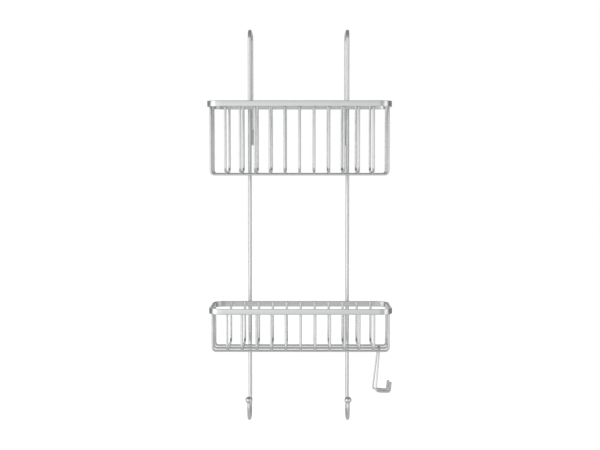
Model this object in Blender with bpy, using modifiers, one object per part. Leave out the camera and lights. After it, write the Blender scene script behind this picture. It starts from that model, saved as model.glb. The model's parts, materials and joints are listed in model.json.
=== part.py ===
"""Over-the-door shower caddy: two wire baskets on a pair of round uprights, with a razor hook.

The origin is midway between the two over-door hooks, on the underside of their tops.
+Z is up and the baskets stand out towards -Y. Everything is in metres.
"""
import math

import bmesh
import bpy
from mathutils import Quaternion, Vector

GAP = 0.0003                 # clearance kept between neighbouring pieces

# Uprights
ROD_D = 0.0066
ROD_X = 0.0928               # each upright's distance from the middle
DOOR_GAP = 0.080             # hook's front rod to its rear leg, centre to centre
HOOK_BEND = 0.016
LEG_END_Z = -0.2125
TOWEL_BEND = 0.028           # radius of the towel hook at the bottom
TOWEL_Z = -0.7028            # centre of that bend
BALL_D = 0.0140
BALL_Z = -0.6913
BALL_SOCKET = 0.0030         # how far the rod goes into the ball
CAP_D = 0.0084
CAP_LENGTH = 0.031
CAP_FLOOR = 0.0015           # thickness of the cap's closed end
CAP_EDGE = 0.0015            # radius round the closed end

# Baskets
BASKET_W = 0.3335
BASKET_D = 0.126
STRIP_H = 0.0105
STRIP_T = 0.0030
CORNER_R = 0.0254
WIRE_D = 0.0042
CROSS_BEND = 0.0090
LONG_BEND = 0.0065
CROSS_COUNT = 11
CROSS_PITCH = 0.0266
LONG_COUNT = 3
LONG_PITCH = 0.032
TIP_DROP = 0.0010            # wire tips below the rim's top edge
BASKETS = {                  # middle's X, height of the rim's top edge, and of the long wires underneath
    "upper": (0.0022, -0.1354, -0.2677),
    "lower": (0.0041, -0.5103, -0.5912),
}

# Razor hook, hung over the lower basket's middle long wire
HOOK_WIRE_D = 0.0030
HOOK_X = 0.1450              # from the basket's middle
HOOK_DROP = 0.0784           # pivot down to the bars
HOOK_TOP_BEND = 0.0075       # radius over the basket wire
HOOK_SPREAD = 0.0130         # half the distance between the two legs' feet
HOOK_TIP_SPREAD = 0.0090     # half the distance between the two prongs
HOOK_REACH = 0.0271
PRONG_H = 0.0175
HOOK_CORNER = 0.0045
HOOK_YAW = math.radians(9.5)
HOOK_LEAN = math.radians(6.0)
SLEEVE_D = 0.0050
SLEEVE_START = 0.0055        # along the bar from the leg
SLEEVE_TIP = 0.0010          # past the end of the wire
BORE_LEAD = 0.0010           # the sleeve's bore is cut this far past its open end

# How finely the round shapes are divided
ROD_STEPS = 8                # in each bend over the door and each corner of a rim
TOWEL_STEPS = 14
WIRE_STEPS = 5
HOOK_CORNER_STEPS = 6
HOOK_TOP_STEPS = 10
EDGE_STEPS = 3
AROUND = 20                  # round a ball, its socket and a cap
BALL_RINGS = 12
ROD_SHARPNESS = 4            # bevel resolution of the rods, and below of the wires
WIRE_SHARPNESS = 2
HOOK_SHARPNESS = 3
WELD_DISTANCE = 0.00001

# Places worked out from the dimensions above
BACK_Y = -DOOR_GAP / 2 - ROD_D / 2 - GAP
MID_Y = BACK_Y - BASKET_D / 2
WIRE_INSET = STRIP_T + GAP + WIRE_D / 2
HOOK_TOP_Z = ROD_D / 2


def clear_scene():
    for item in list(bpy.data.objects):
        bpy.data.objects.remove(item, do_unlink=True)


def make_collection(name):
    collection = bpy.data.collections.new(name)
    bpy.context.scene.collection.children.link(collection)
    return collection


def make_material(name, colour, roughness, metallic):
    material = bpy.data.materials.new(name)
    material.use_nodes = True
    shader = material.node_tree.nodes["Principled BSDF"]
    shader.inputs["Base Color"].default_value = (*colour, 1.0)
    shader.inputs["Roughness"].default_value = roughness
    shader.inputs["Metallic"].default_value = metallic
    return material


def add_object(name, data, collection, material):
    item = bpy.data.objects.new(name, data)
    collection.objects.link(item)
    data.materials.append(material)
    return item


def fillet_path(corners, radius, steps):
    """Points along straight runs between the corners, with an arc at each inner corner."""
    points = [corners[0]]
    for before, corner, after in zip(corners, corners[1:], corners[2:]):
        back = (before - corner).normalized()
        ahead = (after - corner).normalized()
        half = back.angle(ahead) / 2
        centre = corner + (back + ahead).normalized() * radius / math.sin(half)
        start = corner + back * radius / math.tan(half) - centre
        axis = back.cross(ahead).normalized()
        turn = -(math.pi - 2 * half)
        for step in range(steps + 1):
            points.append(centre + Quaternion(axis, turn * step / steps) @ start)
    points.append(corners[-1])
    return points


def add_wire(name, points, diameter, sharpness, collection, material):
    """A round wire with closed ends along the points."""
    curve = bpy.data.curves.new(name, "CURVE")
    curve.dimensions = "3D"
    spline = curve.splines.new("POLY")
    spline.points.add(len(points) - 1)
    for target, point in zip(spline.points, points):
        target.co = (*point, 1.0)
    curve.bevel_depth = diameter / 2
    curve.bevel_resolution = sharpness
    curve.use_fill_caps = True
    return add_object(name, curve, collection, material)


def curve_to_mesh(item, collection):
    """The same shape as a mesh object with its end caps welded on, for cutting."""
    bpy.context.view_layer.update()
    evaluated = item.evaluated_get(bpy.context.evaluated_depsgraph_get())
    mesh = bpy.data.meshes.new_from_object(evaluated)
    welded = bmesh.new()
    welded.from_mesh(mesh)
    bmesh.ops.remove_doubles(welded, verts=welded.verts, dist=WELD_DISTANCE)
    welded.to_mesh(mesh)
    welded.free()
    name = item.name
    place = item.matrix_world.copy()
    bpy.data.objects.remove(item, do_unlink=True)
    solid = bpy.data.objects.new(name, mesh)
    solid.matrix_world = place
    collection.objects.link(solid)
    return solid


def subtract(item, cutter):
    cut = item.modifiers.new("Cut", "BOOLEAN")
    cut.operation = "DIFFERENCE"
    cut.object = cutter
    cutter.hide_render = True
    cutter.display_type = "WIRE"


def upright_points():
    """From the rear leg's end, over the door, down behind the baskets and round the towel hook."""
    front = -DOOR_GAP / 2
    rear = DOOR_GAP / 2
    corners = [
        Vector((0, rear, LEG_END_Z + CAP_FLOOR + GAP)),
        Vector((0, rear, HOOK_TOP_Z)),
        Vector((0, front, HOOK_TOP_Z)),
        Vector((0, front, TOWEL_Z)),
    ]
    points = fillet_path(corners, HOOK_BEND, ROD_STEPS)
    for step in range(1, TOWEL_STEPS + 1):
        angle = math.pi * step / TOWEL_STEPS
        points.append(Vector((0, front - TOWEL_BEND + TOWEL_BEND * math.cos(angle),
                              TOWEL_Z - TOWEL_BEND * math.sin(angle))))
    points.append(Vector((0, front - 2 * TOWEL_BEND, BALL_Z - BALL_D / 2 + BALL_SOCKET)))
    return points


def add_ball(name, x, parts, cutters, material):
    """A ball with a blind socket underneath for the rod's end."""
    ball = bmesh.new()
    bmesh.ops.create_uvsphere(ball, u_segments=AROUND, v_segments=BALL_RINGS, radius=BALL_D / 2)
    mesh = bpy.data.meshes.new(name)
    ball.to_mesh(mesh)
    ball.free()
    item = add_object(name, mesh, parts, material)
    item.location = (x, -DOOR_GAP / 2 - 2 * TOWEL_BEND, BALL_Z)
    item.data.shade_smooth()
    socket = bmesh.new()
    depth = BALL_SOCKET + GAP + BALL_D / 2
    bmesh.ops.create_cone(socket, cap_ends=True, segments=AROUND, radius1=ROD_D / 2 + GAP,
                          radius2=ROD_D / 2 + GAP, depth=depth)
    socket_mesh = bpy.data.meshes.new(name + "_socket")
    socket.to_mesh(socket_mesh)
    socket.free()
    cutter = bpy.data.objects.new(name + "_socket", socket_mesh)
    cutters.objects.link(cutter)
    cutter.location = item.location + Vector((0, 0, BALL_SOCKET + GAP - BALL_D / 2 - depth / 2))
    subtract(item, cutter)
    return item


def add_leg_cap(name, x, collection, material):
    """A closed sleeve turned from its half section."""
    bore = ROD_D / 2 + GAP
    outer = CAP_D / 2
    floor = LEG_END_Z + CAP_FLOOR
    top = LEG_END_Z + CAP_LENGTH
    profile = [(0, floor), (bore, floor), (bore, top), (outer, top)]
    for step in range(EDGE_STEPS + 1):
        angle = math.pi / 2 * step / EDGE_STEPS
        profile.append((outer - CAP_EDGE * (1 - math.cos(angle)),
                        LEG_END_Z + CAP_EDGE * (1 - math.sin(angle))))
    profile.append((0, LEG_END_Z))
    section = bmesh.new()
    verts = [section.verts.new((radius, 0, height)) for radius, height in profile]
    for first, second in zip(verts, verts[1:]):
        section.edges.new((first, second))
    mesh = bpy.data.meshes.new(name)
    section.to_mesh(mesh)
    section.free()
    item = add_object(name, mesh, collection, material)
    item.location = (x, DOOR_GAP / 2, 0)
    turn = item.modifiers.new("Turn", "SCREW")
    turn.steps = AROUND
    turn.render_steps = AROUND
    turn.use_merge_vertices = True
    turn.merge_threshold = 0.0001
    return item


def rounded_outline(width, depth, radius, steps):
    """A rectangle with round corners, centred on the origin."""
    points = []
    for quarter, (side_x, side_y) in enumerate([(1, 1), (-1, 1), (-1, -1), (1, -1)]):
        for step in range(steps + 1):
            angle = math.pi / 2 * (quarter + step / steps)
            points.append((side_x * (width / 2 - radius) + radius * math.cos(angle),
                           side_y * (depth / 2 - radius) + radius * math.sin(angle)))
    return points


def add_rim(name, middle_x, top_z, collection, material):
    """A flat strip standing on edge, bent into a closed rounded rectangle."""
    curve = bpy.data.curves.new(name, "CURVE")
    curve.dimensions = "2D"
    curve.fill_mode = "BOTH"
    curve.extrude = STRIP_H / 2
    for inset in (0, STRIP_T):
        outline = rounded_outline(BASKET_W - 2 * inset, BASKET_D - 2 * inset, CORNER_R - inset, ROD_STEPS)
        spline = curve.splines.new("POLY")
        spline.points.add(len(outline) - 1)
        for target, (x, y) in zip(spline.points, outline):
            target.co = (x, y, 0, 1)
        spline.use_cyclic_u = True
    item = add_object(name, curve, collection, material)
    item.location = (middle_x, MID_Y, top_z - STRIP_H / 2)
    return item


def basket_wire_points(half_span, tip_z, run_z, bend, direction):
    """Down inside the rim, across the bottom and up again, along X or Y."""
    ends = [(-half_span, tip_z), (-half_span, run_z), (half_span, run_z), (half_span, tip_z)]
    corners = [direction * along + Vector((0, 0, height)) for along, height in ends]
    return fillet_path(corners, bend, WIRE_STEPS)


def add_basket(name, collection, metal):
    middle_x, top_z, long_z = BASKETS[name]
    add_rim(name + "_rim", middle_x, top_z, collection, metal)
    tip_z = top_z - TIP_DROP
    cross_z = long_z + WIRE_D + GAP
    across = basket_wire_points(BASKET_D / 2 - WIRE_INSET, tip_z, cross_z, CROSS_BEND, Vector((0, 1, 0)))
    for number in range(CROSS_COUNT):
        wire_name = f"{name}_cross_wire_{number + 1:02d}"
        wire = add_wire(wire_name, across, WIRE_D, WIRE_SHARPNESS, collection, metal)
        wire.location = (middle_x + (number - (CROSS_COUNT - 1) / 2) * CROSS_PITCH, MID_Y, 0)
    along = basket_wire_points(BASKET_W / 2 - WIRE_INSET, tip_z, long_z, LONG_BEND, Vector((1, 0, 0)))
    for number in range(LONG_COUNT):
        wire_name = f"{name}_long_wire_{number + 1}"
        wire = add_wire(wire_name, along, WIRE_D, WIRE_SHARPNESS, collection, metal)
        wire.location = (middle_x, MID_Y + (number - (LONG_COUNT - 1) / 2) * LONG_PITCH, 0)


def hook_bend_centre():
    """The top bend's centre: under the pivot, so that the wire rests on top of the basket's."""
    return Vector((0, 0, WIRE_D / 2 + GAP + HOOK_WIRE_D / 2 - HOOK_TOP_BEND))


def hook_side_points(side):
    """One side of the razor hook, from its prong's tip to where the leg meets the top bend."""
    centre = hook_bend_centre()
    foot = Vector((0, side * HOOK_SPREAD, -HOOK_DROP))
    corner = Vector((HOOK_REACH, side * HOOK_TIP_SPREAD, -HOOK_DROP))
    drop = centre.z - foot.z
    slope = math.atan2(HOOK_SPREAD, drop) - math.asin(HOOK_TOP_BEND / math.hypot(HOOK_SPREAD, drop))
    meeting = centre + HOOK_TOP_BEND * Vector((0, side * math.cos(slope), math.sin(slope)))
    corners = [corner + Vector((0, 0, PRONG_H)), corner, foot, meeting]
    return fillet_path(corners, HOOK_CORNER, HOOK_CORNER_STEPS)


def razor_hook_points():
    """Up one side, over the basket wire and down the other side."""
    front = hook_side_points(-1)
    rear = hook_side_points(1)
    centre = hook_bend_centre()
    start = front[-1] - centre
    full_turn = math.pi - 2 * math.atan2(start.z, -start.y)
    arc = []
    for step in range(1, HOOK_TOP_STEPS):
        arc.append(centre + Quaternion((1, 0, 0), -full_turn * step / HOOK_TOP_STEPS) @ start)
    return front + arc + rear[::-1]


def sleeve_points(side, start, tip):
    """The stretch of one side that a sleeve covers, from its tip round the corner and along the bar."""
    covered = hook_side_points(side)[:HOOK_CORNER_STEPS + 2]
    covered[0] = covered[0] + Vector((0, 0, tip))
    foot = Vector((0, side * HOOK_SPREAD, -HOOK_DROP))
    bar = Vector((HOOK_REACH, side * (HOOK_TIP_SPREAD - HOOK_SPREAD), 0))
    covered.append(foot + bar.normalized() * start)
    return covered


def add_sleeve(name, side, parts, cutters, material):
    """A soft tube over one prong, closed at the tip."""
    covered = sleeve_points(side, SLEEVE_START, SLEEVE_TIP)
    outer = add_wire(name, covered, SLEEVE_D, ROD_SHARPNESS, parts, material)
    tube = curve_to_mesh(outer, parts)
    cored = sleeve_points(side, SLEEVE_START - BORE_LEAD, GAP)
    inner = add_wire(name + "_bore", cored, HOOK_WIRE_D + 2 * GAP, ROD_SHARPNESS, cutters, material)
    bore = curve_to_mesh(inner, cutters)
    subtract(tube, bore)
    return tube, bore


def add_razor_hook(parts, cutters, metal, vinyl):
    pivot = bpy.data.objects.new("razor_hook_pivot", None)
    parts.objects.link(pivot)
    basket_x, _, long_z = BASKETS["lower"]
    pivot.location = (basket_x + HOOK_X, MID_Y, long_z)
    pivot.rotation_euler = (0, HOOK_LEAN, HOOK_YAW)
    hook = add_wire("razor_hook", razor_hook_points(), HOOK_WIRE_D, HOOK_SHARPNESS, parts, metal)
    pieces = [hook]
    for name, side in (("razor_sleeve_front", -1), ("razor_sleeve_rear", 1)):
        pieces += add_sleeve(name, side, parts, cutters, vinyl)
    for piece in pieces:
        piece.parent = pivot


def build():
    clear_scene()
    parts = make_collection("shower_caddy")
    cutters = make_collection("cutters")
    satin = make_material("satin_steel", (0.60, 0.61, 0.60), 0.34, 1.0)
    vinyl = make_material("grey_vinyl", (0.44, 0.45, 0.45), 0.45, 0.0)
    for side, x in (("left", -ROD_X), ("right", ROD_X)):
        upright = add_wire(side + "_upright", upright_points(), ROD_D, ROD_SHARPNESS, parts, satin)
        upright.location = (x, 0, 0)
        add_ball(side + "_hook_ball", x, parts, cutters, satin)
        add_leg_cap(side + "_leg_cap", x, parts, vinyl)
    for name in BASKETS:
        add_basket(name, parts, satin)
    add_razor_hook(parts, cutters, satin, vinyl)


build()
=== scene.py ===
import json
import math
import random

import bmesh
import bpy
from mathutils import Matrix, Vector


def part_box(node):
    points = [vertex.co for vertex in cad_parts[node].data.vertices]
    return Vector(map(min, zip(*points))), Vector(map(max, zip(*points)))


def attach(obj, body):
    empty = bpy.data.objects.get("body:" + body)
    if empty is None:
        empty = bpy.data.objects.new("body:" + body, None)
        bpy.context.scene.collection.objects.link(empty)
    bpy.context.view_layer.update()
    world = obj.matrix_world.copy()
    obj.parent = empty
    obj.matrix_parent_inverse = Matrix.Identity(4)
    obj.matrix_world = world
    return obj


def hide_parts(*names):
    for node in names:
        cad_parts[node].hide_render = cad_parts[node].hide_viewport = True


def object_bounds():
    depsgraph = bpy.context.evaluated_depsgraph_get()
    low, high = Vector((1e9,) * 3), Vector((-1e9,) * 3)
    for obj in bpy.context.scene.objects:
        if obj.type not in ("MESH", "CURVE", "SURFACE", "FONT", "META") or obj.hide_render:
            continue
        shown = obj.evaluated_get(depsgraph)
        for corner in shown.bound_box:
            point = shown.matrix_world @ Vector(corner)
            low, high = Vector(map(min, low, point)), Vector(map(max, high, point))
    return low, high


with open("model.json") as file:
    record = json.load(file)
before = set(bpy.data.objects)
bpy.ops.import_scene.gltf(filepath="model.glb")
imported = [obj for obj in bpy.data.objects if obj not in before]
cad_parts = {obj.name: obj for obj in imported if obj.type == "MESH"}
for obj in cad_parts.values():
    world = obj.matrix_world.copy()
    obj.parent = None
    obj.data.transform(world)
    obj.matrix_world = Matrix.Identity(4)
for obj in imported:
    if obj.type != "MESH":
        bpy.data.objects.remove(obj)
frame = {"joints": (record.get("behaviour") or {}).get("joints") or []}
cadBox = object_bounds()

# Over-the-door shower caddy in satin chrome: two wire baskets on a pair of bent rods.
# In the dictionaries sizes are in metres and angles in degrees. Places come from the frame's own boxes.

body = "caddy"
hangerBody = "razor_hanger"
mergeDistance = 0.00001
sharpAngle = 42   # between two faces, past which their edge shades sharp


def linearColor(text):  # sRGB hex to the linear values that a socket takes
    channels = [int(text[i:i + 2], 16) / 255 for i in (0, 2, 4)]
    linear = [c / 12.92 if c <= 0.04045 else ((c + 0.055) / 1.055) ** 2.4 for c in channels]
    return (*linear, 1.0)


def addNode(tree, kind, place, settings=None, links=None):
    node = tree.nodes.new(kind)
    node.location = place
    for key, value in (settings or {}).items():
        if isinstance(key, int) or key in node.inputs:
            node.inputs[key].default_value = value
        else:
            setattr(node, key, value)
    for key, source in (links or {}).items():
        tree.links.new(source, node.inputs[key])
    return node


def setRamp(node, stops):  # stops are (position, sRGB hex)
    ramp = node.color_ramp
    while len(ramp.elements) < len(stops):
        ramp.elements.new(0.5)
    for element, (position, color) in zip(ramp.elements, stops):
        element.position = position
        element.color = linearColor(color)


def newMaterial(name):
    material = bpy.data.materials.new(name)
    material.use_nodes = True
    tree = material.node_tree
    return material, tree, tree.nodes["Principled BSDF"]


# Satin chrome plate over drawn or rolled steel: a neutral, slightly cool silver with a soft, wide
# highlight. The plate follows the steel under it, so each stock keeps its own lines: long fine ones on
# drawn wire and rod, wider ones on rolled strip, and none on a tumbled ball or a weld. The real lines are
# about 0.05 mm apart; they are drawn about ten times coarser, so that they show at all.
chrome = {
    "rod": {"low": "cccecd", "high": "d6d8d7", "lineWidth": 0.00055, "lineLength": 0.050,
            "lineHeight": 0.000010, "pebble": 0.00045, "pebbleHeight": 0.000004, "rough": (0.24, 0.34)},
    "strip": {"low": "cccecd", "high": "d4d6d5", "lineWidth": 0.00070, "lineLength": 0.065,
              "lineHeight": 0.000009, "pebble": 0.00050, "pebbleHeight": 0.000004, "rough": (0.25, 0.35),
              # painted shade: the strip's faces on the inside of a basket are darkened a little, for the
              # shade there
              "inside": {"shadeTint": "f0f0f0", "halfWall": 0.0015}},
    "wire": {"low": "cdcfce", "high": "d6d8d7", "lineWidth": 0.00045, "lineLength": 0.035,
             "lineHeight": 0.000008, "pebble": 0.00040, "pebbleHeight": 0.000004, "rough": (0.24, 0.34)},
    "ball": {"low": "cfd1d0", "high": "d9dbda", "lineWidth": 0.0012, "lineLength": 0.0012,
             "lineHeight": 0.000008, "pebble": 0.00040, "pebbleHeight": 0.000005, "rough": (0.22, 0.32)},
    "weld": {"low": "c8cac9", "high": "d6d8d7", "lineWidth": 0.0009, "lineLength": 0.0009,
             "lineHeight": 0.000025, "pebble": 0.00035, "pebbleHeight": 0.000006, "rough": (0.30, 0.42)},
}
# The same for every stock: how many clouds of colour and gloss there are to the metre, and the part of
# the noise's range over which the colour and the gloss go from their low to their high value.
plate = {"clouds": 45.0, "noiseLow": 0.35, "noiseHigh": 0.65}


def makeChrome(name, look, onGrain):
    material, tree, shader = newMaterial(name)
    shader.inputs["Metallic"].default_value = 1.0
    place = addNode(tree, "ShaderNodeTexCoord", (-1300, 0))
    if onGrain:  # the stock's own length and section, so the lines go round its bends with it
        grain = addNode(tree, "ShaderNodeAttribute", (-1300, 300), {"attribute_name": "grain"})
        along = grain.outputs["Vector"]
    else:
        along = place.outputs["Object"]
    across = 1 / look["lineWidth"]
    stretch = addNode(tree, "ShaderNodeMapping", (-1100, 300),
                      {"Scale": (across, across, 1 / look["lineLength"])}, {"Vector": along})
    lines = addNode(tree, "ShaderNodeTexNoise", (-900, 300),
                    {"Scale": 1.0, "Detail": 3.0, "Roughness": 0.6}, {"Vector": stretch.outputs["Vector"]})
    pebble = addNode(tree, "ShaderNodeTexNoise", (-900, 0), {"Scale": 1 / look["pebble"], "Detail": 2.0},
                     {"Vector": place.outputs["Object"]})
    clouds = addNode(tree, "ShaderNodeTexNoise", (-900, -300),
                     {"Scale": plate["clouds"], "Detail": 4.0, "Roughness": 0.6},
                     {"Vector": place.outputs["Object"]})
    both = addNode(tree, "ShaderNodeMath", (-700, -100), {"operation": "ADD"},
                   {0: lines.outputs["Fac"], 1: clouds.outputs["Fac"]})
    tone = addNode(tree, "ShaderNodeMath", (-550, -100), {"operation": "MULTIPLY", 1: 0.5},
                   {0: both.outputs[0]})
    color = addNode(tree, "ShaderNodeValToRGB", (-400, 100), {}, {"Fac": tone.outputs[0]})
    setRamp(color, [(plate["noiseLow"], look["low"]), (plate["noiseHigh"], look["high"])])
    gloss = addNode(tree, "ShaderNodeMapRange", (-400, -200),
                    {"From Min": plate["noiseLow"], "From Max": plate["noiseHigh"],
                     "To Min": look["rough"][0], "To Max": look["rough"][1]}, {"Value": tone.outputs[0]})
    lineBump = addNode(tree, "ShaderNodeBump", (-450, 400),
                       {"Strength": 1.0, "Distance": look["lineHeight"]}, {"Height": lines.outputs["Fac"]})
    pebbleBump = addNode(tree, "ShaderNodeBump", (-250, 400),
                         {"Strength": 1.0, "Distance": look["pebbleHeight"]},
                         {"Height": pebble.outputs["Fac"], "Normal": lineBump.outputs["Normal"]})
    baseColor = color.outputs["Color"]
    # painted shade on the strip's inside faces: its colour is multiplied down there by the shade tint
    if "inside" in look:  # the section's x is 0 in the middle of the wall and grows outwards
        depth = addNode(tree, "ShaderNodeSeparateXYZ", (-650, 600), {}, {"Vector": along})
        outward = addNode(tree, "ShaderNodeMapRange", (-450, 600),
                          {"From Min": -look["inside"]["halfWall"], "From Max": 0.0,
                           "interpolation_type": "SMOOTHSTEP"}, {"Value": depth.outputs["X"]})
        shade = addNode(tree, "ShaderNodeValToRGB", (-250, 600), {}, {"Fac": outward.outputs["Result"]})
        setRamp(shade, [(0.0, look["inside"]["shadeTint"]), (1.0, "ffffff")])
        baseColor = addNode(tree, "ShaderNodeMix", (0, 300),
                            {"data_type": "RGBA", "blend_type": "MULTIPLY", 0: 1.0},
                            {6: color.outputs["Color"], 7: shade.outputs["Color"]}).outputs[2]
    tree.links.new(baseColor, shader.inputs["Base Color"])
    tree.links.new(gloss.outputs["Result"], shader.inputs["Roughness"])
    tree.links.new(pebbleBump.outputs["Normal"], shader.inputs["Normal"])
    return material


# Grey plasticised PVC, dip moulded: soft and half matt, with a faint orange peel and rubbed lighter
# patches.
vinyl = {"dark": "a8aaa9", "pale": "bcbebd", "peel": 0.0011, "peelHeight": 0.00003, "patch": 0.007,
         "noiseLow": 0.3, "noiseHigh": 0.7, "rough": (0.40, 0.55), "ior": 1.53}


def makeVinyl(name, look):
    material, tree, shader = newMaterial(name)
    shader.inputs["IOR"].default_value = look["ior"]
    place = addNode(tree, "ShaderNodeTexCoord", (-1000, 0))
    patch = addNode(tree, "ShaderNodeTexNoise", (-800, 150), {"Scale": 1 / look["patch"], "Detail": 4.0},
                    {"Vector": place.outputs["Object"]})
    peel = addNode(tree, "ShaderNodeTexNoise", (-800, -150), {"Scale": 1 / look["peel"], "Detail": 1.0},
                   {"Vector": place.outputs["Object"]})
    color = addNode(tree, "ShaderNodeValToRGB", (-500, 200), {}, {"Fac": patch.outputs["Fac"]})
    setRamp(color, [(look["noiseLow"], look["dark"]), (look["noiseHigh"], look["pale"])])
    gloss = addNode(tree, "ShaderNodeMapRange", (-500, -50),
                    {"From Min": look["noiseLow"], "From Max": look["noiseHigh"],
                     "To Min": look["rough"][0], "To Max": look["rough"][1]},
                    {"Value": patch.outputs["Fac"]})
    bump = addNode(tree, "ShaderNodeBump", (-500, -300), {"Strength": 1.0, "Distance": look["peelHeight"]},
                   {"Height": peel.outputs["Fac"]})
    tree.links.new(color.outputs["Color"], shader.inputs["Base Color"])
    tree.links.new(gloss.outputs["Result"], shader.inputs["Roughness"])
    tree.links.new(bump.outputs["Normal"], shader.inputs["Normal"])
    return material


chromeRod = makeChrome("satinChromeRod", chrome["rod"], onGrain=True)
chromeStrip = makeChrome("satinChromeStrip", chrome["strip"], onGrain=True)
chromeWire = makeChrome("satinChromeWire", chrome["wire"], onGrain=True)
chromeBall = makeChrome("satinChromeBall", chrome["ball"], onGrain=False)
chromeWeld = makeChrome("satinChromeWeld", chrome["weld"], onGrain=False)
greyVinyl = makeVinyl("dippedGreyVinyl", vinyl)
print("materials made")


def newSection():
    bm = bmesh.new()
    bm.verts.layers.float_vector.new("grain")
    return bm


def roundSection(radius, sides):
    bm = newSection()
    bmesh.ops.create_circle(bm, cap_ends=True, radius=radius, segments=sides)
    return bm


def stripSection(thickness, height, edge, edgeSteps):
    bm = newSection()
    made = bmesh.ops.create_grid(bm, x_segments=1, y_segments=1, size=0.5)
    bmesh.ops.scale(bm, vec=(thickness, height, 1), verts=made["verts"])
    bmesh.ops.bevel(bm, geom=bm.verts[:], offset=edge, offset_type="OFFSET", affect="VERTICES",
                    segments=edgeSteps, profile=0.5, material=-1)
    return bm


def bendStock(bm, corners, radii, steps, closed=False):
    # Feeds the section along the first run and then bends it at each corner, as a wire bender does.
    # The grain layer holds where each vertex was on the straight stock. Returns the two end faces.
    grain = bm.verts.layers.float_vector["grain"]
    for vert in bm.verts:
        vert[grain] = vert.co
    place = Matrix.Translation(corners[0])
    square = (corners[1] - corners[0]).to_track_quat("Z", "Y").to_matrix().to_4x4()
    bmesh.ops.transform(bm, matrix=place @ square, verts=bm.verts[:])
    startFace = bm.faces[:][0]
    edges = list(startFace.edges)

    def feed(length):
        made = bmesh.ops.extrude_edge_only(bm, edges=edges)["geom"]
        verts = [part for part in made if isinstance(part, bmesh.types.BMVert)]
        fresh = set(verts)
        madeEdges = [part for part in made if isinstance(part, bmesh.types.BMEdge)]
        ring = [edge for edge in madeEdges if fresh.issuperset(edge.verts)]
        for vert in verts:
            vert[grain] = vert[grain] + Vector((0, 0, length))
        return verts, ring

    here = corners[0]
    for index in range(1, len(corners)):
        corner = corners[index]
        direction = (corner - here).normalized()
        last = index == len(corners) - 1
        turn = 0 if last else direction.angle(corners[index + 1] - corner)
        radius = 0 if last else radii[index - 1]
        setback = radius * math.tan(turn / 2)
        runEnd = corner - direction * setback
        verts, edges = feed((runEnd - here).length)
        bmesh.ops.translate(bm, vec=runEnd - here, verts=verts)
        if last:
            break
        ahead = (corners[index + 1] - corner).normalized()
        axis = direction.cross(ahead).normalized()
        centre = runEnd + axis.cross(direction) * radius
        step = Matrix.Rotation(turn / steps, 3, axis)
        for _ in range(steps):
            verts, edges = feed(radius * turn / steps)
            bmesh.ops.rotate(bm, cent=centre, matrix=step, verts=verts)
        here = corner + ahead * setback
    if closed:  # the last ring lies on the first, and neither has a face
        bmesh.ops.delete(bm, geom=[startFace], context="FACES_ONLY")
        bmesh.ops.remove_doubles(bm, verts=bm.verts, dist=mergeDistance)
        return ()
    endFace = bmesh.ops.edgeloop_fill(bm, edges=edges)["faces"][0]
    return startFace, endFace


def roundEnd(bm, face, size, steps):
    bmesh.ops.bevel(bm, geom=list(face.edges), offset=size, offset_type="OFFSET", affect="EDGES",
                    segments=steps, profile=0.5, material=-1)


def turnProfile(outline, steps):  # outline is (radius, height) from the bottom of the axis to its top
    bm = bmesh.new()
    verts = [bm.verts.new((radius, 0, height)) for radius, height in outline]
    edges = [bm.edges.new(pair) for pair in zip(verts, verts[1:])]
    bmesh.ops.spin(bm, geom=verts + edges, cent=(0, 0, 0), axis=(0, 0, 1), angle=2 * math.pi,
                   steps=steps, use_merge=True)
    bmesh.ops.remove_doubles(bm, verts=bm.verts, dist=mergeDistance)
    return bm


def arcPoints(centre, radius, fromAngle, toAngle, steps):  # angles from the outward radius, upwards
    points = []
    for step in range(steps + 1):
        angle = math.radians(fromAngle + (toAngle - fromAngle) * step / steps)
        points.append((centre[0] + radius * math.cos(angle), centre[1] + radius * math.sin(angle)))
    return points


def finishPiece(name, bm, material, rides, slot, *nodes):
    bmesh.ops.recalc_face_normals(bm, faces=bm.faces)
    mesh = bpy.data.meshes.new(name)
    bm.to_mesh(mesh)
    bm.free()
    mesh.shade_smooth()
    mesh.set_sharp_from_angle(angle=math.radians(sharpAngle))
    mesh.materials.append(material)
    piece = bpy.data.objects.new(name, mesh)
    bpy.context.scene.collection.objects.link(piece)
    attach(piece, rides)
    if nodes:
        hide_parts(*nodes)


def boxOf(node):
    low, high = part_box(node)
    return low, high, (low + high) / 2


# The rod's rear leg ends just above the floor of its cap, and its front end goes up into the ball.
upright = {"radius": 0.0033, "doorBend": 0.016, "towelBend": 0.028, "endInCap": 0.0018,
           "sides": 36, "steps": 24}
# The neck is a fillet between the ball and the rod.
ball = {"neck": 0.0012, "neckSteps": 6, "skinSteps": 28, "around": 48}
# The lip swells out between the places where it begins and is full, measured down from the mouth.
cap = {"lip": 0.00018, "lipBegins": 0.00352, "lipFull": 0.00224, "lipRound": 0.00035, "lipSteps": 5,
       "foot": 0.0022, "footSteps": 10, "bore": 0.00335, "floor": 0.0017, "around": 40}


def makeUpright(side):
    low, high, middle = boxOf(side + "_upright")
    r = upright["radius"]
    hookFront = low.y + r
    hookRear = hookFront + 2 * upright["towelBend"]
    legRear = high.y - r
    top = high.z - r
    bottom = low.z + r
    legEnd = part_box(side + "_leg_cap")[0].z + upright["endInCap"]
    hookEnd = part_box(side + "_hook_ball")[0].z + r
    places = [(legRear, legEnd), (legRear, top), (hookRear, top),
              (hookRear, bottom), (hookFront, bottom), (hookFront, hookEnd)]
    corners = [Vector((middle.x, y, z)) for y, z in places]
    bends = [upright["doorBend"]] * 2 + [upright["towelBend"]] * 2
    bm = roundSection(r, upright["sides"])
    bendStock(bm, corners, bends, upright["steps"])
    finishPiece(side + "Upright", bm, chromeRod, body, "satin_steel", side + "_upright")


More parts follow.
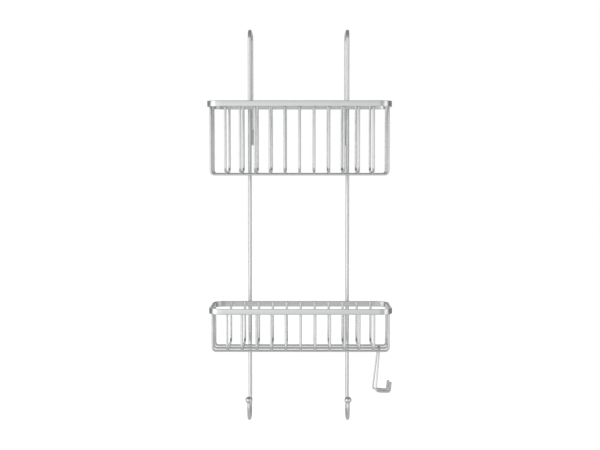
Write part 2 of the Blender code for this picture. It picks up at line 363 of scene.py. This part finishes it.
def makeBall(side):
    low, high, middle = boxOf(side + "_hook_ball")
    radius = (high.z - low.z) / 2
    neckAway = upright["radius"] + ball["neck"]
    neckAngle = -math.degrees(math.acos(neckAway / (radius + ball["neck"])))
    neckCentre = (neckAway, (radius + ball["neck"]) * math.sin(math.radians(neckAngle)))
    neck = arcPoints(neckCentre, ball["neck"], 180, 180 + neckAngle, ball["neckSteps"])
    skin = arcPoints((0, 0), radius, neckAngle, 90, ball["skinSteps"])
    bm = turnProfile([(0, neck[0][1])] + neck + skin[1:-1] + [(0, radius)], ball["around"])
    bmesh.ops.translate(bm, vec=middle, verts=bm.verts)
    finishPiece(side + "HookBall", bm, chromeBall, body, "ball_steel", side + "_hook_ball")


def makeCap(side):
    low, high, middle = boxOf(side + "_leg_cap")
    outer = (high.x - low.x) / 2
    wall = outer - cap["lip"]
    length = high.z - low.z
    foot = cap["foot"]
    roll = cap["lipRound"]
    outline = [(0, 0)] + arcPoints((wall - foot, foot), foot, -90, 0, cap["footSteps"])
    outline += [(wall, length - cap["lipBegins"]), (outer, length - cap["lipFull"])]
    outline += arcPoints((outer - roll, length - roll), roll, 0, 90, cap["lipSteps"])
    outline += [(cap["bore"], length), (cap["bore"], cap["floor"]), (0, cap["floor"])]
    bm = turnProfile(outline, cap["around"])
    bmesh.ops.translate(bm, vec=(middle.x, middle.y, low.z), verts=bm.verts)
    finishPiece(side + "LegCap", bm, greyVinyl, body, "grey_vinyl", side + "_leg_cap")


for side in ("left", "right"):
    makeUpright(side)
    makeBall(side)
    makeCap(side)
print("uprights bent, balls and caps turned")


rim = {"thickness": 0.0030, "cornerRadius": 0.0254, "edge": 0.0007, "edgeSteps": 4, "steps": 24}
wire = {"radius": 0.0021, "longBend": 0.0065, "crossBend": 0.0090, "sides": 20, "steps": 12,
        "cut": 0.0004, "cutSteps": 3}
crossNumbers = range(1, 12)
longNumbers = range(1, 4)


def makeRim(basket):
    low, high, middle = boxOf(basket + "_rim")
    half = rim["thickness"] / 2
    left, right, front, back = low.x + half, high.x - half, low.y + half, high.y - half
    places = [(middle.x, back), (right, back), (right, front), (left, front), (left, back),
              (middle.x, back)]
    corners = [Vector((x, y, middle.z)) for x, y in places]
    bm = stripSection(rim["thickness"], high.z - low.z, rim["edge"], rim["edgeSteps"])
    bendStock(bm, corners, [rim["cornerRadius"] - half] * 4, rim["steps"], closed=True)
    finishPiece(basket + "Rim", bm, chromeStrip, body, "strip_steel", basket + "_rim")


def makeBasketWire(node, name, axis, bend):  # axis 0 runs along the basket, 1 from front to back
    low, high, middle = boxOf(node)
    r = wire["radius"]
    run = low.z + r
    start, end = low[axis] + r, high[axis] - r
    corners = []
    for along, height in ((start, high.z), (start, run), (end, run), (end, high.z)):
        corner = middle.copy()
        corner[axis] = along
        corner.z = height
        corners.append(corner)
    bm = roundSection(r, wire["sides"])
    for face in bendStock(bm, corners, [bend] * 2, wire["steps"]):
        roundEnd(bm, face, wire["cut"], wire["cutSteps"])
    finishPiece(name, bm, chromeWire, body, "wire_steel", node)


for basket in ("upper", "lower"):
    makeRim(basket)
    for number in crossNumbers:
        makeBasketWire(f"{basket}_cross_wire_{number:02d}", f"{basket}CrossWire{number:02d}", 1,
                       wire["crossBend"])
    for number in longNumbers:
        makeBasketWire(f"{basket}_long_wire_{number}", f"{basket}LongWire{number}", 0,
                       wire["longBend"])
print("baskets made")


# Half sizes of the beads, along X, Y and Z. The pieces are pressed together and fused by current, so what
# shows is a low swelling round each joint.
bead = {"crossing": (0.0021, 0.0021, 0.0016), "tipCross": (0.0017, 0.0011, 0.0042),
        "tipLong": (0.0011, 0.0017, 0.0042), "upright": (0.0023, 0.0011, 0.0048), "vary": 0.10, "seed": 11}


def addBead(bm, place, size, chance):
    made = bmesh.ops.create_icosphere(bm, subdivisions=2, radius=1.0)
    scale = [part * (1 + chance.uniform(-bead["vary"], bead["vary"])) for part in size]
    bmesh.ops.scale(bm, vec=scale, verts=made["verts"])
    bmesh.ops.translate(bm, vec=place, verts=made["verts"])


def makeWelds(basket):
    chance = random.Random(bead["seed"])
    bm = bmesh.new()
    low, high, middle = boxOf(basket + "_rim")
    inner = rim["thickness"]
    crossBoxes = [boxOf(f"{basket}_cross_wire_{number:02d}") for number in crossNumbers]
    longBoxes = [boxOf(f"{basket}_long_wire_{number}") for number in longNumbers]
    for crossLow, _, crossMiddle in crossBoxes:
        for longLow, _, longMiddle in longBoxes:
            between = (crossLow.z + longLow.z) / 2 + wire["radius"]
            addBead(bm, (crossMiddle.x, longMiddle.y, between), bead["crossing"], chance)
        for y in (low.y + inner, high.y - inner):
            addBead(bm, (crossMiddle.x, y, middle.z), bead["tipCross"], chance)
    for _, _, longMiddle in longBoxes:
        for x in (low.x + inner, high.x - inner):
            addBead(bm, (x, longMiddle.y, middle.z), bead["tipLong"], chance)
    for side in ("left", "right"):
        x = boxOf(side + "_upright")[2].x
        addBead(bm, (x, high.y, middle.z), bead["upright"], chance)
    finishPiece(basket + "BasketWelds", bm, chromeWeld, body, "strip_steel")


for basket in ("upper", "lower"):
    makeWelds(basket)
print("welds made")


# One wire goes down a prong, back along a bar, up a leg, over the lower basket's middle long wire and
# the same way back on the other side. The spreads are half the distances between the legs' feet and
# between the prongs. A sleeve starts on the bar and passes the prong's end by its tip.
hanger = {"radius": 0.0015, "drop": 0.0784, "spread": 0.0130, "tipSpread": 0.0090, "topBend": 0.0075,
          "reach": 0.0271, "prong": 0.0175, "corner": 0.0045, "clearance": 0.0003,
          "yaw": 9.5, "lean": 6.0, "sides": 24, "steps": 14, "cut": 0.0004, "cutSteps": 3}
sleeve = {"radius": 0.0025, "start": 0.0055, "tip": 0.0010, "tipRound": 0.0014, "tipSteps": 6,
          "lipRound": 0.0004, "lipSteps": 3}


def hangerMatrix():
    pivot = Vector(frame["joints"][0]["pos_m"])
    yaw = Matrix.Rotation(math.radians(hanger["yaw"]), 4, "Z")
    lean = Matrix.Rotation(math.radians(hanger["lean"]), 4, "Y")
    return Matrix.Translation(pivot) @ yaw @ lean


def hangerSide(side):  # from the prong's tip to the foot of the leg
    corner = Vector((hanger["reach"], side * hanger["tipSpread"], -hanger["drop"]))
    foot = Vector((0, side * hanger["spread"], -hanger["drop"]))
    return [corner + Vector((0, 0, hanger["prong"])), corner, foot]


def makeRazorHook():
    over, spread = hanger["topBend"], hanger["spread"]
    centre = wire["radius"] + hanger["clearance"] + hanger["radius"] - over
    drop = centre + hanger["drop"]
    slope = math.atan2(spread, drop) - math.asin(over / math.hypot(spread, drop))
    apex = Vector((0, 0, centre + over / math.sin(slope)))   # where the legs' lines meet, above the bend
    corners = hangerSide(-1) + [apex] + hangerSide(1)[::-1]
    bends = [hanger["corner"]] * 2 + [over] + [hanger["corner"]] * 2
    bm = roundSection(hanger["radius"], hanger["sides"])
    for face in bendStock(bm, corners, bends, hanger["steps"]):
        roundEnd(bm, face, hanger["cut"], hanger["cutSteps"])
    bmesh.ops.transform(bm, matrix=hangerMatrix(), verts=bm.verts)
    finishPiece("razorHook", bm, chromeWire, hangerBody, "wire_steel", "razor_hook")


def makeSleeve(side, end):
    tip, corner, foot = hangerSide(side)
    tip = tip + Vector((0, 0, sleeve["tip"]))
    mouth = foot + (corner - foot).normalized() * sleeve["start"]
    bm = roundSection(sleeve["radius"], hanger["sides"])
    tipFace, mouthFace = bendStock(bm, [tip, corner, mouth], [hanger["corner"]], hanger["steps"])
    roundEnd(bm, tipFace, sleeve["tipRound"], sleeve["tipSteps"])
    roundEnd(bm, mouthFace, sleeve["lipRound"], sleeve["lipSteps"])
    bmesh.ops.transform(bm, matrix=hangerMatrix(), verts=bm.verts)
    node = "razor_sleeve_" + end.lower()
    finishPiece("razorSleeve" + end, bm, greyVinyl, hangerBody, "grey_vinyl", node)


makeRazorHook()
makeSleeve(-1, "Front")
makeSleeve(1, "Rear")
print("razor hook made")


# A shower door's top is about 1.95 m above the floor.
floorLook = {"drop": 1.95, "size": 40.0, "glow": 0.70, "rough": 0.9, "low": "f3f3f2", "high": "f7f7f6",
             "mottle": 3.0, "noiseLow": 0.3, "noiseHigh": 0.7}
# The horizon goes round from straight behind the object, through its left, the front and its right. The
# colours above and below set in between two heights of a direction's Z, from -1 to 1.
studio = {"strength": 2.0,
          "horizon": [(0.00, "cfcfcf"), (0.02, "c3c3c3"), (0.045, "6a6a6a"), (0.21, "6a6a6a"),
                      (0.26, "a2a2a2"), (0.33, "bababa"), (0.39, "d4d4d4"), (0.46, "dcdcdc"),
                      (0.50, "c8c8c8"), (0.54, "b4b4b4"), (0.60, "9a9a9a"), (0.65, "989898"),
                      (0.72, "9a9a9a"), (0.77, "646464"), (0.955, "686868"), (0.98, "c3c3c3"),
                      (1.00, "cfcfcf")],
          "above": {"color": "707070", "begins": -0.05, "full": 0.80},
          "below": {"color": "9c9c9c", "begins": -0.14, "full": -0.50}}
# Bearings are from the front towards the right, and powers are in watts for each square metre.
softBoxes = {"softBoxLeft": {"bearing": -70, "halfWidth": 17, "distance": 2.6, "tall": 2.2, "power": 4.0},
             "softBoxRight": {"bearing": 65.5, "halfWidth": 14.5, "distance": 2.6, "tall": 2.2,
                              "power": 3.2}}
view = {"place": (0.0103, -2.2315, -0.250), "tilt": -3.01, "yaw": 0.2, "lens": 69.0, "sensor": 36.0}


def makeCamera():
    data = bpy.data.cameras.new("camera")
    data.lens = view["lens"]
    data.sensor_width = view["sensor"]
    camera = bpy.data.objects.new("camera", data)
    camera.location = view["place"]
    camera.rotation_euler = (math.radians(90 + view["tilt"]), 0, math.radians(view["yaw"]))
    bpy.context.scene.collection.objects.link(camera)
    bpy.context.scene.camera = camera


def makeFloor():
    bm = bmesh.new()
    bmesh.ops.create_grid(bm, x_segments=8, y_segments=8, size=floorLook["size"] / 2)
    bmesh.ops.translate(bm, vec=(0, 0, -floorLook["drop"]), verts=bm.verts)
    mesh = bpy.data.meshes.new("floor")
    bm.to_mesh(mesh)
    bm.free()
    material, tree, shader = newMaterial("paleFloor")
    place = addNode(tree, "ShaderNodeTexCoord", (-700, 0))
    mottle = addNode(tree, "ShaderNodeTexNoise", (-500, 0), {"Scale": floorLook["mottle"]},
                     {"Vector": place.outputs["Object"]})
    color = addNode(tree, "ShaderNodeValToRGB", (-300, 0), {}, {"Fac": mottle.outputs["Fac"]})
    setRamp(color, [(floorLook["noiseLow"], floorLook["low"]), (floorLook["noiseHigh"], floorLook["high"])])
    tree.links.new(color.outputs["Color"], shader.inputs["Base Color"])
    shader.inputs["Roughness"].default_value = floorLook["rough"]
    shader.inputs["Emission Color"].default_value = linearColor("ffffff")
    shader.inputs["Emission Strength"].default_value = floorLook["glow"]
    mesh.materials.append(material)
    floor = bpy.data.objects.new("floor", mesh)
    floor.visible_glossy = False   # the chrome mirrors the studio's own shades instead
    bpy.context.scene.collection.objects.link(floor)


def makeSoftBoxes():
    low, high = cadBox
    middle = (low + high) / 2
    for name, box in softBoxes.items():
        data = bpy.data.lights.new(name, "AREA")
        data.shape = "RECTANGLE"
        data.size = 2 * box["distance"] * math.tan(math.radians(box["halfWidth"]))
        data.size_y = box["tall"]
        data.energy = box["power"] * data.size * data.size_y
        light = bpy.data.objects.new(name, data)
        bearing = math.radians(box["bearing"])
        away = Vector((math.sin(bearing), -math.cos(bearing), 0))
        light.location = middle + away * box["distance"]
        light.rotation_euler = away.to_track_quat("Z", "Y").to_euler()
        bpy.context.scene.collection.objects.link(light)


def makeStudio():  # grey shades all round for the chrome to mirror, and white paper for the camera
    world = bpy.data.worlds.new("studio")
    bpy.context.scene.world = world
    world.use_nodes = True
    tree = world.node_tree
    tree.nodes.clear()
    place = addNode(tree, "ShaderNodeTexCoord", (-1300, 0))
    parts = addNode(tree, "ShaderNodeSeparateXYZ", (-1100, 0), {}, {"Vector": place.outputs["Generated"]})
    forwards = addNode(tree, "ShaderNodeMath", (-900, -100), {"operation": "MULTIPLY", 1: -1.0},
                       {0: parts.outputs["Y"]})
    bearing = addNode(tree, "ShaderNodeMath", (-700, 0), {"operation": "ARCTAN2"},
                      {0: parts.outputs["X"], 1: forwards.outputs[0]})
    turn = addNode(tree, "ShaderNodeMapRange", (-500, 0), {"From Min": -math.pi, "From Max": math.pi},
                   {"Value": bearing.outputs[0]})
    horizon = addNode(tree, "ShaderNodeValToRGB", (-300, 0), {}, {"Fac": turn.outputs["Result"]})
    setRamp(horizon, studio["horizon"])
    dome = horizon.outputs["Color"]
    for zone in (studio["above"], studio["below"]):
        height = addNode(tree, "ShaderNodeMapRange", (-300, 300),
                         {"From Min": zone["begins"], "From Max": zone["full"],
                          "interpolation_type": "SMOOTHSTEP"}, {"Value": parts.outputs["Z"]})
        dome = addNode(tree, "ShaderNodeMix", (0, 100),
                       {"data_type": "RGBA", 7: linearColor(zone["color"])},
                       {0: height.outputs["Result"], 6: dome}).outputs[2]
    light = addNode(tree, "ShaderNodeBackground", (200, 100), {"Strength": studio["strength"]},
                    {"Color": dome})
    paper = addNode(tree, "ShaderNodeBackground", (200, -100), {"Color": (1, 1, 1, 1), "Strength": 1.0})
    path = addNode(tree, "ShaderNodeLightPath", (200, 400))
    seen = addNode(tree, "ShaderNodeMixShader", (450, 0), {},
                   {0: path.outputs["Is Camera Ray"], 1: light.outputs[0], 2: paper.outputs[0]})
    addNode(tree, "ShaderNodeOutputWorld", (650, 0), {}, {"Surface": seen.outputs[0]})


makeCamera()
makeFloor()
makeSoftBoxes()
makeStudio()
bpy.context.scene.view_settings.view_transform = "Standard"
print("studio set")
